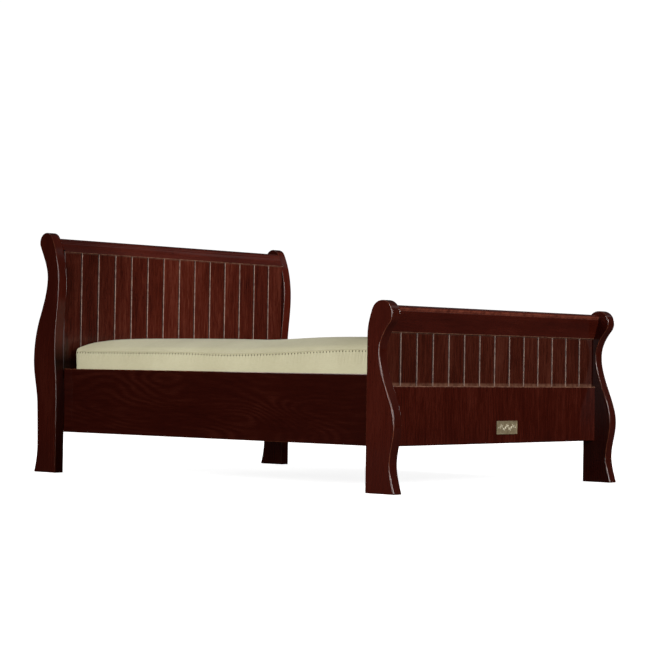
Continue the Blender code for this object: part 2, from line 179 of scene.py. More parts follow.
ARRIS_SLANT = (0.30, 0.48)                 # slants between which a rounded edge starts to be painted lighter
GROOVE_FLOOR = (0.0016, 0.0032)            # distances from a joint where its dark floor fades out, where its lighter brim, bare wood with a painted highlight, fades in and where the brim fades out again
BRIM_START = (0.0024, 0.0034)              # where its rubbed brim fades in
BRIM_END = (0.0050, 0.0058)                # and where the brim fades out again
END_BRIM = (INNER_HALF - 0.0075, INNER_HALF - 0.0065)
PAINTED_SHADE_LEVELS = ((0.0, 0.4), (0.46, 0.4), (0.55, 0.12), (0.66, 1.0))      # painted shade on faces turned to the foot, at and below the mattress: height, tone
PAINTED_SHADE_REACH = (-0.62, -0.15)               # painted shade, darker to the left: the tone across the bed changes between these places
PAINTED_SHADE_TONES = (0.66, 1.2)


# ---- node materials ----
class Graph:
    """One node material; add() makes a node, sets its values and links its inputs."""

    def __init__(self, name):
        self.material = bpy.data.materials.new(name)
        self.material.use_nodes = True
        self.tree = self.material.node_tree
        self.tree.nodes.clear()
        self.coordinates = self.add("TexCoord")
        self.place = self.coordinates.outputs["Object"]

    def add(self, kind, inputs=None, **settings):
        node = self.tree.nodes.new("ShaderNode" + kind)
        for key, value in settings.items():
            setattr(node, key, value)
        for socket, value in (inputs or {}).items():
            if isinstance(value, bpy.types.NodeSocket):
                self.tree.links.new(value, node.inputs[socket])
            else:
                node.inputs[socket].default_value = value
        return node

    def math(self, operation, a, b=0.0, clamp=False):
        node = self.add("Math", {0: a, 1: b}, operation=operation, use_clamp=clamp)
        return node.outputs[0]

    def times(self, a, b):
        return self.math("MULTIPLY", a, b)

    def plus(self, a, b):
        return self.math("ADD", a, b)

    def about_zero(self, value, weight):
        """A value from 0 to 1 as a swing about zero."""
        return self.times(self.math("SUBTRACT", value, 0.5), weight)

    def vector(self, operation, a, b):
        node = self.add("VectorMath", {0: a, 1: b}, operation=operation)
        return node.outputs[0]

    def split(self, vector):
        return self.add("SeparateXYZ", {0: vector}).outputs

    def noise(self, place, scale, detail=2.0, roughness=0.5, distortion=0.0):
        inputs = {"Vector": place, "Scale": scale, "Detail": detail,
                  "Roughness": roughness, "Distortion": distortion}
        return self.add("TexNoise", inputs).outputs["Fac"]

    def grain(self, place, stretch, detail, roughness=0.5, distortion=0.0):
        """Noise with its own scale along each axis."""
        return self.noise(self.vector("MULTIPLY", place, stretch), 1.0, detail, roughness, distortion)

    def ramp(self, value, stops):
        node = self.add("ValToRGB", {"Fac": value})
        ramp = node.color_ramp
        while len(ramp.elements) < len(stops):
            ramp.elements.new(0.5)
        for element, (position, colour) in zip(ramp.elements, stops):
            element.position = position
            element.color = (*colour, 1.0)
        return node.outputs["Color"]

    def range(self, value, low, high, to_low=0.0, to_high=1.0):
        inputs = {"Value": value, "From Min": low, "From Max": high,
                  "To Min": to_low, "To Max": to_high}
        return self.add("MapRange", inputs).outputs["Result"]

    def mix(self, factor, a, b, blend="MIX"):
        node = self.add("Mix", data_type="RGBA", blend_type=blend, clamp_factor=True)
        for index, value in ((0, factor), (6, a), (7, b)):
            if isinstance(value, bpy.types.NodeSocket):
                self.tree.links.new(value, node.inputs[index])
            elif index == 0:
                node.inputs[index].default_value = value
            else:
                node.inputs[index].default_value = (*value, 1.0)
        return node.outputs[2]

    def bump(self, height, distance, strength=1.0, under=None):
        inputs = {"Height": height, "Distance": distance, "Strength": strength}
        if under is not None:
            inputs["Normal"] = under
        return self.add("Bump", inputs).outputs["Normal"]

    def surface(self, colour, roughness, normal, **more):
        """Finish with one principled surface; more holds its other inputs, with _ for spaces."""
        inputs = {"Base Color": colour, "Roughness": roughness, "Normal": normal}
        inputs.update({key.replace("_", " "): value for key, value in more.items()})
        return self.finish(self.add("BsdfPrincipled", inputs))

    def finish(self, shader):
        self.add("OutputMaterial", {"Surface": shader.outputs[0]})
        return self.material


def rub_and_highlight_edges(graph, colour, axis, patches):
    """Lighter wood where the surface turns away from an axis, as on a rounded edge: rubbed lacquer with a
    painted highlight.
    """
    facing = graph.split(graph.coordinates.outputs["Normal"])[axis]
    across = graph.math("SUBTRACT", 1.0, graph.math("POWER", facing, 2.0), clamp=True)
    slanted = graph.math("ABSOLUTE", graph.times(facing, graph.math("SQRT", across)))
    return graph.mix(graph.times(graph.range(slanted, *ARRIS_SLANT), patches), colour, RUBBED_AND_HIGHLIGHT_CHERRY)


def mark_joints(graph, colour, gloss, along, patches):
    """Dark grooves between the boards, with lighter brims of bare wood and painted highlight, but no brim
    next to the posts.
    """
    side = graph.math("MODULO", along, BOARD_PITCH)
    inset = graph.math("MINIMUM", side, graph.math("SUBTRACT", BOARD_PITCH, side))
    deep = graph.range(inset, *GROOVE_FLOOR, 1.0, 0.0)
    brim = graph.times(graph.range(inset, *BRIM_START), graph.range(inset, *BRIM_END, 1.0, 0.0))
    from_middle = graph.math("ABSOLUTE", graph.split(graph.place)["X"])
    brim = graph.times(brim, graph.range(from_middle, *END_BRIM, 1.0, 0.0))
    colour = graph.mix(graph.times(brim, patches), colour, BARE_AND_HIGHLIGHT_EDGE)
    colour = graph.mix(deep, colour, GROOVE_BROWN)
    return colour, graph.math("SUBTRACT", gloss, graph.times(deep, 0.8 * gloss))


def rub_and_highlight_band(graph, colour, height, half, amount, band_colour, patches):
    """Band of another colour at one height: rubbed wood, and painted highlight along the ledges and the
    bead.
    """
    off = graph.math("ABSOLUTE", graph.math("SUBTRACT", graph.split(graph.place)["Z"], height))
    band = graph.times(graph.range(off, 0.55 * half, half, amount, 0.0), patches)
    return graph.mix(band, colour, band_colour)


def paint_shade_foot_side(graph, colour, gloss, other_tone):
    """Painted shade: faces turned to the foot get darker to the left, and at and below the mattress, and
    their coat thins with it; the other faces take their own tone, a painted darker flank where it is below
    1.
    """
    x, _, z = graph.split(graph.place)
    facing = graph.split(graph.coordinates.outputs["Normal"])[1]
    to_foot = graph.range(facing, -0.8, -0.5, 1.0, 0.0)
    level = graph.ramp(z, [(height, (tone,) * 3) for height, tone in PAINTED_SHADE_LEVELS])
    lit = graph.mix(1.0, level, graph.range(x, *PAINTED_SHADE_REACH, *PAINTED_SHADE_TONES), "MULTIPLY")
    colour = graph.mix(1.0, colour, graph.mix(to_foot, (other_tone,) * 3, lit), "MULTIPLY")
    return colour, graph.times(graph.mix(to_foot, (1.0, 1.0, 1.0), level), gloss)


def cherry(name, along_grain, arris=None, boards=False, streak=0.5, cloud=0.5, figure=0.0,
           tone=1.0, dull=0.80, gloss=1.0, painted_shade=None, rubbed_and_highlight_bands=()):
    """Dark red-brown lacquered wood; streak, cloud and figure say how strongly each shows.

    A higher dull gives a browner, less red wood. Edges rounded about the arris axis are painted lighter,
    as rubbed lacquer with a painted highlight, and so are the level bands given as (height, half width,
    amount, colour), rubbed wood and painted highlights. Painted shade darkens the faces turned to the foot,
    and its value is the tone of the other faces.
    """
    graph = Graph(name)
    x, y, z = graph.split(graph.place)
    order = {"x": (y, z, x), "y": (x, z, y), "z": (x, y, z)}[along_grain]
    turned = graph.add("CombineXYZ", {i: order[i] for i in range(3)}).outputs[0]
    if boards:
        along = graph.plus(x, INNER_HALF)
        index = graph.math("FLOOR", graph.math("DIVIDE", along, BOARD_PITCH))
        board = graph.add("TexWhiteNoise", {"W": index}, noise_dimensions="1D").outputs
        shift = graph.vector("MULTIPLY", board["Color"], BOARD_SHIFT)
        turned = graph.vector("ADD", turned, shift)
    wander = graph.add("TexNoise", {"Vector": turned, "Scale": 2.2, "Detail": 1.0})
    bent = graph.vector("ADD", turned, graph.vector("MULTIPLY", wander.outputs["Color"], GRAIN_WANDER))
    broad = graph.grain(bent, BROAD_STRETCH, 2.0)
    bands = graph.grain(bent, BAND_STRETCH, 3.0, 0.6)
    fine = graph.grain(bent, FINE_STRETCH, 2.0, 0.6)
    pores = graph.range(graph.grain(bent, PORE_STRETCH, 1.0), 0.60, 0.72)
    level = graph.about_zero(bands, 1.3 * streak)
    level = graph.plus(level, graph.about_zero(fine, 1.5 * streak))
    level = graph.plus(level, graph.about_zero(broad, 2.0 * cloud))
    if figure:
        rings = graph.math("SINE", graph.times(graph.grain(bent, SWIRL_STRETCH, 1.0, 0.4), 150.0))
        shown = graph.range(broad, 0.42, 0.62, 0.02, 0.22 * figure)
        level = graph.plus(level, graph.times(rings, shown))
    if boards:
        level = graph.plus(level, graph.about_zero(board["Value"], 0.22))
    level = graph.math("ADD", level, 0.5, clamp=True)
    stops = []
    for position, (red, green, blue) in ((0.0, DARK_CHERRY), (0.5, MIDDLE_CHERRY), (1.0, LIGHT_CHERRY)):
        stops.append((position, (tone * red, tone * dull * green, tone * dull * blue)))
    colour = graph.mix(graph.times(pores, 0.55), graph.ramp(level, stops), PORE_BROWN)
    patches = graph.grain(graph.place, (PATCH_SCALE,) * 3, 3.0, 0.65)
    patches = graph.range(patches, 0.34, 0.60, 0.25, 1.0)
    # rounded edges painted lighter: rubbed lacquer with a painted highlight
    if arris is not None:
        colour = rub_and_highlight_edges(graph, colour, arris, patches)
    # joint brims painted lighter: bare wood with a painted highlight
    if boards:
        colour, gloss = mark_joints(graph, colour, gloss, along, patches)
    # level bands: painted highlight along the ledges and the bead, rubbed wood under the crests
    for height, half, amount, band_colour in rubbed_and_highlight_bands:
        colour = rub_and_highlight_band(graph, colour, height, half, amount, band_colour, patches)
    # painted shade on the faces turned to the foot, at and below the mattress and towards the left
    if painted_shade is not None:
        colour, gloss = paint_shade_foot_side(graph, colour, gloss, painted_shade)
    rough = graph.plus(graph.times(broad, 0.16), 0.26)
    relief = graph.bump(graph.math("SUBTRACT", fine, graph.times(pores, 0.8)), 0.0004, 0.55)
    ripple = graph.bump(graph.noise(graph.place, 26.0, 1.0), 0.0006, 0.35, relief)
    return graph.surface(colour, rough, ripple, Specular_IOR_Level=0.0, Coat_Weight=gloss,
                         Coat_Roughness=0.13, Coat_IOR=1.5)


def cherry_woods():
    """One lacquered wood for each kind of piece, with the lines that cross it: rubbed wood and painted
    highlights.
    """
    return {
        "foot_board": cherry(
            "cherry_foot_boards", "z", boards=True, streak=0.75, cloud=0.40, tone=1.04, dull=1.12,
            gloss=0.8, rubbed_and_highlight_bands=[(LEDGE, 0.016, 0.48, WORN_AND_HIGHLIGHT_EDGE), (FOOT_CREST_LOW.z, 0.006, 0.18, WORN_AND_HIGHLIGHT_EDGE)]),
        # painted light: the same wood as the foot end's, in a higher tone for the stronger light on the head
        # end
        "head_board": cherry(
            "cherry_head_boards", "z", boards=True, streak=0.75, cloud=0.50, tone=1.54, dull=1.0,
            gloss=0.8, painted_shade=1.0, rubbed_and_highlight_bands=[(HEAD_CREST_BOTTOM, 0.006, 0.25, WORN_AND_HIGHLIGHT_EDGE)]),
        "lower": cherry(
            "cherry_lower_rails", "z", streak=0.60, cloud=0.35, gloss=0.8,
            rubbed_and_highlight_bands=[(LEDGE, 0.0050, 0.9, WORN_AND_HIGHLIGHT_EDGE)]),
        "side": cherry(
            "cherry_side_rails", "y", arris="Z", streak=0.30, cloud=0.28, figure=0.6, tone=0.46, gloss=0.7),
        "foot_post": cherry(
            "cherry_foot_posts", "z", arris="X", streak=0.25, cloud=0.35, tone=0.94),
        # painted light: this bright tone is for the lit faces turned to the foot, and the flanks are painted
        # darker
        "head_post": cherry(
            "cherry_head_posts", "z", arris="X", streak=0.25, cloud=0.35, tone=1.60, gloss=0.6, painted_shade=0.37),
        "foot_crest": cherry(
            "cherry_foot_crest", "x", streak=0.25, cloud=0.45, tone=1.12, gloss=0.8,
            rubbed_and_highlight_bands=[(FOOT_CREST_LOW.z, 0.0045, 0.8, WORN_AND_HIGHLIGHT_EDGE), (BEAD_LEVEL, 0.0085, 0.85, BEAD_WEAR_AND_HIGHLIGHT)]),
        # painted light: a higher tone than the foot end's crest, for the stronger light on the head end
        "head_crest": cherry(
            "cherry_head_crest", "x", streak=0.25, cloud=0.55, tone=1.52, gloss=0.75, painted_shade=0.9,
            rubbed_and_highlight_bands=[(HEAD_CREST_BOTTOM, 0.0045, 0.8, WORN_AND_HIGHLIGHT_EDGE)]),
    }


def pine_material():
    graph = Graph("pine_base_wood")
    broad = graph.grain(graph.place, (1.0, 9.0, 9.0), 2.0, 0.5, 0.6)
    bands = graph.grain(graph.place, (3.0, 60.0, 60.0), 3.0, 0.55, 0.4)
    level = graph.plus(graph.times(bands, 0.65), graph.times(broad, 0.35))
    stops = [(0.30, (0.42, 0.25, 0.115)), (0.52, (0.62, 0.44, 0.25)), (0.72, (0.74, 0.58, 0.37))]
    rough = graph.range(level, 0.3, 0.7, 0.62, 0.46)
    return graph.surface(graph.ramp(level, stops), rough, graph.bump(bands, 0.0004, 0.5),
                         Specular_IOR_Level=0.35)


def steel_material():
    graph = Graph("zinc_plated_steel")
    spangle = graph.add("TexVoronoi", {"Vector": graph.place, "Scale": 160.0}).outputs["Color"]
    tone = graph.add("SeparateColor", {0: spangle}).outputs[0]
    smudge = graph.noise(graph.place, 22.0, 3.0)
    level = graph.plus(graph.times(tone, 0.3), graph.times(smudge, 0.7))
    colour = graph.ramp(level, [(0.25, (0.36, 0.37, 0.39)), (0.75, (0.62, 0.63, 0.65))])
    rough = graph.range(level, 0.2, 0.8, 0.28, 0.46)
    brushed = graph.grain(graph.place, (90.0, 90.0, 1400.0), 1.0)
    return graph.surface(colour, rough, graph.bump(brushed, 0.0002, 0.35), Metallic=1.0)


def brass_material():
    graph = Graph("aged_brass")
    tarnish = graph.noise(graph.place, 55.0, 4.0, 0.6)
    colour = graph.ramp(tarnish, [(0.32, (0.27, 0.205, 0.115)), (0.68, (0.44, 0.36, 0.22))])
    rough = graph.range(tarnish, 0.3, 0.7, 0.55, 0.40)
    relief = graph.bump(graph.noise(graph.place, 420.0, 2.0), 0.0002, 0.5)
    return graph.surface(colour, rough, relief, Metallic=0.6)


def bright_brass_material():
    graph = Graph("rubbed_brass")
    wear = graph.noise(graph.place, 160.0, 3.0, 0.6)
    colour = graph.ramp(wear, [(0.34, (0.70, 0.62, 0.42)), (0.66, (0.92, 0.86, 0.68))])
    rough = graph.range(wear, 0.3, 0.7, 0.46, 0.34)
    return graph.surface(colour, rough, graph.bump(wear, 0.0002, 0.4), Metallic=0.15)


def ticking_material():
    """Cream woven cover, puckered about the row of stitches."""
    graph = Graph("mattress_ticking_cloth")
    warp = graph.grain(graph.place, (1300.0, 150.0, 1300.0), 1.0)
    weft = graph.grain(graph.place, (150.0, 1300.0, 1300.0), 1.0)
    weave = graph.math("MAXIMUM", warp, weft)
    smudge = graph.noise(graph.place, 3.2, 3.0, 0.6)
    slub = graph.grain(graph.place, (40.0, 40.0, 240.0), 2.0)
    level = graph.plus(graph.times(smudge, 0.7), graph.times(slub, 0.3))
    colour = graph.ramp(level, [(0.30, (0.475, 0.440, 0.285)), (0.70, (0.585, 0.550, 0.375))])
    colour = graph.mix(graph.range(weave, 0.45, 0.75, 0.0, 0.30), colour, (0.40, 0.36, 0.21))
    relief = graph.bump(weave, 0.0004, 0.5)
    soft = graph.bump(graph.noise(graph.place, 38.0, 2.0), 0.0012, 0.35, relief)
    x, y, z = graph.split(graph.place)
    wave = graph.math("SINE", graph.times(graph.plus(x, y), 2 * math.pi / STITCH_PITCH))
    near = graph.times(graph.range(z, *PUCKER_START), graph.range(z, *PUCKER_END, 1.0, 0.0))
    pucker = graph.times(graph.times(wave, near), graph.noise(graph.place, 14.0, 2.0))
    return graph.surface(colour, 0.88, graph.bump(pucker, 0.005, 0.6, soft), Specular_IOR_Level=0.2,
                         Sheen_Weight=0.08, Sheen_Roughness=0.5)


def sewing_material(name, scale, dark, light, strength):
    """Matt textile of two tones: the seam tapes and the thread."""
    graph = Graph(name)
    twist = graph.grain(graph.place, (scale,) * 3, 1.0)
    colour = graph.ramp(twist, [(0.3, dark), (0.7, light)])
    return graph.surface(colour, 0.85, graph.bump(twist, 0.0003, strength), Specular_IOR_Level=0.2)


# ---- mesh helpers ----
def new_piece(name, bm, material, body="bedstead", replaces=(), smooth=50.0):
    """Mesh object from a bmesh, riding on a body."""
    bmesh.ops.recalc_face_normals(bm, faces=bm.faces)
    mesh = bpy.data.meshes.new(name)
    bm.to_mesh(mesh)
    bm.free()
    mesh.materials.append(material)
    mesh.shade_smooth()
    mesh.set_sharp_from_angle(angle=math.radians(smooth))
    obj = bpy.data.objects.new(name, mesh)
    bpy.context.scene.collection.objects.link(obj)
    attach(obj, body)
    if replaces:
        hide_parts(*replaces)
    return obj


def round_edges(obj, width, segments=4, angle=50.0):
    bevel = obj.modifiers.new("arris", "BEVEL")
    bevel.width = width
    bevel.segments = segments
    bevel.limit_method = "ANGLE"
    bevel.angle_limit = math.radians(angle)
    bevel.harden_normals = True


def bridge(bm, near, far):
    """Faces between two rings of the same count."""
    for k in range(len(near)):
        m = (k + 1) % len(near)
        bm.faces.new((near[k], near[m], far[m], far[k]))


def extrude_outline(outline, base_y, start, end):
    """Prism of a closed side view, points (v, z) with v measured from base_y, between two x."""
    bm = bmesh.new()
    near = [bm.verts.new((start, base_y + v, z)) for v, z in outline]
    far = [bm.verts.new((end, base_y + v, z)) for v, z in outline]
    bm.faces.new(near)
    bm.faces.new(far)
    bridge(bm, near, far)
    return bm


def hermite_edge(knots, step):
    """Points (v, z) of a curved edge from knots (z, v, dv/dz), from low z to high z."""
    points = []
    for (z0, v0, m0), (z1, v1, m1) in zip(knots, knots[1:]):
        h = z1 - z0
        count = max(1, math.ceil(h / step))
        for i in range(count):
            t = i / count
            v = ((2 * t**3 - 3 * t**2 + 1) * v0 + (t**3 - 2 * t**2 + t) * h * m0
                 + (3 * t**2 - 2 * t**3) * v1 + (t**3 - t**2) * h * m1)
            points.append((v, z0 + t * h))
    return points


def on_circle(centre, radius, angle):
    return centre[0] + radius * math.cos(angle), centre[1] + radius * math.sin(angle)


def arc(centre, radius, first, last, count):
    """Points (v, z) on an arc between two angles in degrees, both ends included."""
    return [on_circle(centre, radius, math.radians(first + (last - first) * i / count))
            for i in range(count + 1)]


def arc_knot(centre, radius, degrees):
    """The Hermite knot (z, v, dv/dz) that meets a circle tangentially."""
    angle = math.radians(degrees)
    v, z = on_circle(centre, radius, angle)
    return (z, v, -math.tan(angle))


# ---- posts ----
def foot_post_outline():
    """Side view of a foot post: v is 0 at the straight inner edge and negative outwards."""
    centre, radius = (-0.080, 0.775), 0.060
    leave_outer, leave_inner = 222.0, 20.0
    outer = hermite_edge([
        (0.000, -0.162, 0.30),      # flared foot
        (0.128, -0.134, 0.00),      # ankle
        (0.290, -0.157, 0.00),      # belly
        (0.460, -0.109, 0.41),
        (0.612, -0.070, 0.00),      # neck
        arc_knot(centre, radius, leave_outer),
    ], CURVE_STEP)
    scroll = arc(centre, radius, leave_outer, leave_inner, 36)
    inner = [(0.0, 0.0)] + hermite_edge([
        (0.690, 0.000, 0.0),
        arc_knot(centre, radius, leave_inner),
    ], CURVE_STEP)
    return outer + scroll + list(reversed(inner))


def head_post_outline():
    """Side view of a head post: v is 0 at the straight front edge and positive backwards."""
    centre, radius = (0.092, 1.139), 0.048
    leave_back, leave_front = -25.0, 154.0
    back = hermite_edge([
        (0.000, 0.157, -0.30),      # flared foot
        (0.130, 0.1357, 0.00),
        (0.340, 0.141, 0.05),
        (0.555, 0.172, 0.00),       # belly
        (0.770, 0.1315, -0.40),
        (0.965, 0.0805, 0.00),      # neck
        arc_knot(centre, radius, leave_back),
    ], CURVE_STEP)
    scroll = arc(centre, radius, leave_back, leave_front, 32)
    front = [(0.0, 0.0)] + hermite_edge([
        (0.360, 0.000, 0.0),
        (0.640, 0.016, 0.0),
        (0.920, -0.004, 0.0),
        arc_knot(centre, radius, leave_front),
    ], CURVE_STEP)
    return back + scroll + list(reversed(front))


def make_posts(woods):
    for label, side in (("left", -1), ("right", 1)):
        for end, outline, base_y in (("foot", foot_post_outline(), FOOT_INNER_Y),
                                     ("head", head_post_outline(), HEAD_FRONT_Y)):
            bm = extrude_outline(outline, base_y, side * INNER_HALF, side * HALF_WIDTH)
            post = new_piece(f"{end}_post_{label}_sawn", bm, woods[f"{end}_post"],
                             replaces=[f"{end}_post_{label}"])
            round_edges(post, POST_ARRIS)


# ---- crest rails ----
def round_top(start, end, count=20):
    """Bullnose between the tops of two faces: a half ellipse bulging upwards."""
    (v0, z0), (v1, z1) = start, end
    points = []
    for i in range(count + 1):
        angle = math.pi * i / count
        blend = (1 - math.cos(angle)) / 2
        bulge = CREST_TOP_RISE * math.sin(angle)
        points.append((v0 + (v1 - v0) * blend, z0 + (z1 - z0) * blend + bulge))
    return points


def beaded_top(start, end, count=14):
    """Outer bead with a quirk below it, then a quarter ellipse down to the inner face."""
    (v0, z0), (v1, z1) = start, end
    middle = (v0 + 0.0095, z0 + CREST_TOP_RISE - BEAD_RADIUS)
    quirk = [(v0, z0 - 0.0035), (v0 + 0.0030, z0 - 0.0020), (v0 + 0.0030, z0 + 0.0002)]
    points = quirk + arc(middle, BEAD_RADIUS, 222.0, 90.0, 16)
    for i in range(1, count + 1):
        angle = math.pi / 2 * i / count
        across = middle[0] + (v1 - middle[0]) * math.sin(angle)
        points.append((across, z1 + CREST_TOP_RISE * math.cos(angle)))
    return points


def crest_outline(bottom, lip_in, lip_out, outer_knots, inner_knots, panel_face, outward, top_shape):
    """Leaning crest rail: two curved faces, a rounded top and a slot below for the boards."""
    slot_a = panel_face - outward * GAP
    slot_b = panel_face + outward * (BOARD_THICKNESS + GAP)
    outer = hermite_edge([(bottom, lip_out, outer_knots[0][2])] + outer_knots, CREST_STEP)
    inner = hermite_edge([(bottom, lip_in, inner_knots[0][2])] + inner_knots, CREST_STEP)
    top_out = (outer_knots[-1][1], outer_knots[-1][0])
    top_in = (inner_knots[-1][1], inner_knots[-1][0])
    slot_roof = bottom + PANEL_GROOVE
    slot = [(slot_a, bottom), (slot_a, slot_roof), (slot_b, slot_roof), (slot_b, bottom)]
    return outer + top_shape(top_out, top_in) + list(reversed(inner)) + slot


def make_crests(woods):
    foot = crest_outline(FOOT_CREST_LOW.z, -FOOT_RAIL_DEPTH, -0.058,
                         [(0.750, -0.0735, -0.35), (0.7935, -0.0845, 0.0)],
                         [(0.750, -0.0270, -0.10), (0.7935, -0.0340, -0.20)],
                         -FOOT_PANEL_DEPTH, -1, beaded_top)
    head = crest_outline(HEAD_CREST_BOTTOM, HEAD_RAIL_DEPTH, 0.0430,
                         [(1.115, 0.0640, 0.80), (1.140, 0.0860, 0.90)],
                         [(1.110, 0.0230, 0.75), (1.136, 0.0370, 0.50)],
                         HEAD_PANEL_DEPTH, 1, round_top)
    for name, outline, base_y in (("foot_crest", foot, FOOT_INNER_Y), ("head_crest", head, HEAD_FRONT_Y)):
        bm = extrude_outline(outline, base_y, -CREST_REACH, CREST_REACH)
        piece = new_piece(f"{name}_rail_moulded", bm, woods[name],
                          replaces=[f"{name}_rail"], smooth=40.0)
        round_edges(piece, CREST_ARRIS, 3, 55.0)


# ---- mattress ----
def smooth_rise(value):
    """0 below 0, 1 above 1 and an S-curve between."""
    t = min(1.0, max(0.0, value))
    return t * t * (3 - 2 * t)


def seam_height(x, y):
    """The sewn edge sags a little along the sides and is pushed up towards the foot end."""
    sag_middle = 0.35 * (x > 0) - 0.06
    sag = math.exp(-((y - sag_middle) / SEAM_SAG_HALF) ** 2)
    push = smooth_rise((SEAM_PUSH_START - y) / SEAM_PUSH_LENGTH)
    return SEAM_HEIGHT + SEAM_PUSH * push - SEAM_SAG * sag


def cover_lines(half):
    """Positions of the grid lines across the cover, close together near its edges."""
    middle = half - EDGE_LINES[-1]
    count = 2 * math.ceil(middle / GRID_STEP)
    inner = [-middle + 2 * middle * i / count for i in range(1, count)]
    outer = [half - inset for inset in EDGE_LINES]
    return [-v for v in outer] + inner + list(reversed(outer))


def round_corner(x, y, half_x, half_y):
    """Bend the square corner of the grid onto the cover's rounded corner."""
    r = MATTRESS_CORNER
    a = (abs(x) - half_x + r) / r
    b = (abs(y) - half_y + r) / r
    if a <= 0.0 or b <= 0.0:
        return x, y
    across = half_x - r + r * a * math.sqrt(1 - b * b / 2)
    along = half_y - r + r * b * math.sqrt(1 - a * a / 2)
    return math.copysign(across, x), math.copysign(along, y)


def crown(x, y, half_x, half_y):
    """Height of the puffed top above the sewn edge: a steep lip, a shoulder, a swell and wear."""
    in_x, in_y = half_x - abs(x), half_y - abs(y)
    inset = in_x * in_y / ((in_x**4 + in_y**4) ** 0.25 + 1e-9)
    lip = 0.014 * (1 - math.exp(-inset / 0.009))
    shoulder = 0.044 * (1 - math.exp(-inset / 0.072))
    swell = 0.018 * math.sin(math.pi / 2 * in_x / half_x) * math.sin(math.pi / 2 * in_y / half_y)
    raised_foot = 0.008 * smooth_rise((-y - 0.05) / 0.4)
    slept_in = 0.014 * math.exp(-((y - 0.12) / 0.42) ** 2)
    wear = (raised_foot - slept_in) * (1 - math.exp(-inset / 0.2))
    lumps = 0.004 * noise.noise(Vector((x * 3.1, y * 3.1, 0.7))) * min(1.0, min(in_x, in_y) / 0.15)
    return lip + shoulder + swell + wear + lumps


def top_height(x, y, px, py, half_x, half_y):
    """Height of grid point (x, y), which the rounded corners have moved to (px, py)."""
    seam = seam_height(px, py)
    kept = math.exp(-min(half_x - abs(x), half_y - abs(y)) / SEAM_FADE)
    return crown(x, y, half_x, half_y) + SEAM_HEIGHT + kept * (seam - SEAM_HEIGHT)


def cover_mesh(centre, half_x, half_y, bottom):
    """Closed cover, crowned top over border rows over a flat bottom, and the points to hold."""
    xs, ys = cover_lines(half_x), cover_lines(half_y)
    last_x, last_y = len(xs) - 1, len(ys) - 1
    bm = bmesh.new()
    top, base = {}, {}
    for i, x in enumerate(xs):
        for j, y in enumerate(ys):
            px, py = round_corner(x, y, half_x, half_y)
            on_rim = i in (0, last_x) or j in (0, last_y)
            tuck = 1 - on_rim * TOP_TUCK / half_x
            height = top_height(x, y, px, py, half_x, half_y)
            top[i, j] = bm.verts.new((centre.x + px * tuck, centre.y + py * tuck, height))
            tuck = 1 - on_rim * BASE_TUCK / half_x
            base[i, j] = bm.verts.new((centre.x + px * tuck, centre.y + py * tuck, bottom))
    for i in range(last_x):
        for j in range(last_y):
            for grid in (top, base):
                bm.faces.new((grid[i, j], grid[i + 1, j], grid[i + 1, j + 1], grid[i, j + 1]))
    rim = [(i, 0) for i in range(last_x)] + [(last_x, j) for j in range(last_y)]
    rim += [(i, last_y) for i in range(last_x, 0, -1)] + [(0, j) for j in range(last_y, 0, -1)]
    rows = [[base[key] for key in rim]]
    for row in range(1, BORDER_ROWS):
        climb = 1 - (1 - row / BORDER_ROWS) ** BORDER_CROWDING
        ring = []
        for i, j in rim:
            px, py = round_corner(xs[i], ys[j], half_x, half_y)
            height = bottom + (seam_height(px, py) - bottom) * climb
            ring.append(bm.verts.new((centre.x + px, centre.y + py, height)))
        rows.append(ring)
    rows.append([top[key] for key in rim])
    for lower, upper in zip(rows, rows[1:]):
        bridge(bm, lower, upper)
    bm.verts.index_update()
    held = {v.index for v in base.values()} | {v.index for v in rows[-1]}
    return bm, sorted(held)


def puff_up(obj, held):
    """Short cloth simulation under inner pressure; the bottom and the sewn edge stay put."""
    mesh = obj.data
    start = np.empty(len(mesh.vertices) * 3)
    mesh.vertices.foreach_get("co", start)
    obj.vertex_groups.new(name="held").add(held, 1.0, "REPLACE")
    cloth = obj.modifiers.new("puff", "CLOTH")
    settings = cloth.settings
    settings.quality = 4
    settings.mass = 0.35
    settings.tension_stiffness = 12.0
    settings.compression_stiffness = 12.0
    settings.shear_stiffness = 4.0
    settings.bending_stiffness = 0.6
    settings.use_pressure = True
    settings.uniform_pressure_force = 4.0
    settings.effector_weights.gravity = 0.0
    settings.vertex_group_mass = "held"
    cloth.point_cache.frame_start = 1
    cloth.point_cache.frame_end = PUFF_FRAMES
    scene = bpy.context.scene
    for step in range(1, PUFF_FRAMES + 1):
        scene.frame_set(step)
    puffed = obj.evaluated_get(bpy.context.evaluated_depsgraph_get()).to_mesh()
    moved = np.empty(len(start))
    puffed.vertices.foreach_get("co", moved)
    drift = (moved - start).reshape(-1, 3)
    length = np.linalg.norm(drift, axis=1, keepdims=True) + 1e-9
    start += (drift / length * PUFF_CAP * np.tanh(length / PUFF_CAP)).ravel()
    obj.modifiers.remove(cloth)
    scene.frame_set(1)
    mesh.vertices.foreach_set("co", start)
    mesh.update()


def smooth_once(obj):
    """One applied subdivision, so that seams and stitches can be laid on the final surface."""
    subdivide = obj.modifiers.new("finer", "SUBSURF")
    subdivide.levels = 1
    finer = bpy.data.meshes.new_from_object(obj.evaluated_get(bpy.context.evaluated_depsgraph_get()))
    obj.modifiers.remove(subdivide)
    finer.materials.clear()
    for material in obj.data.materials:
        finer.materials.append(material)
    obj.data = finer


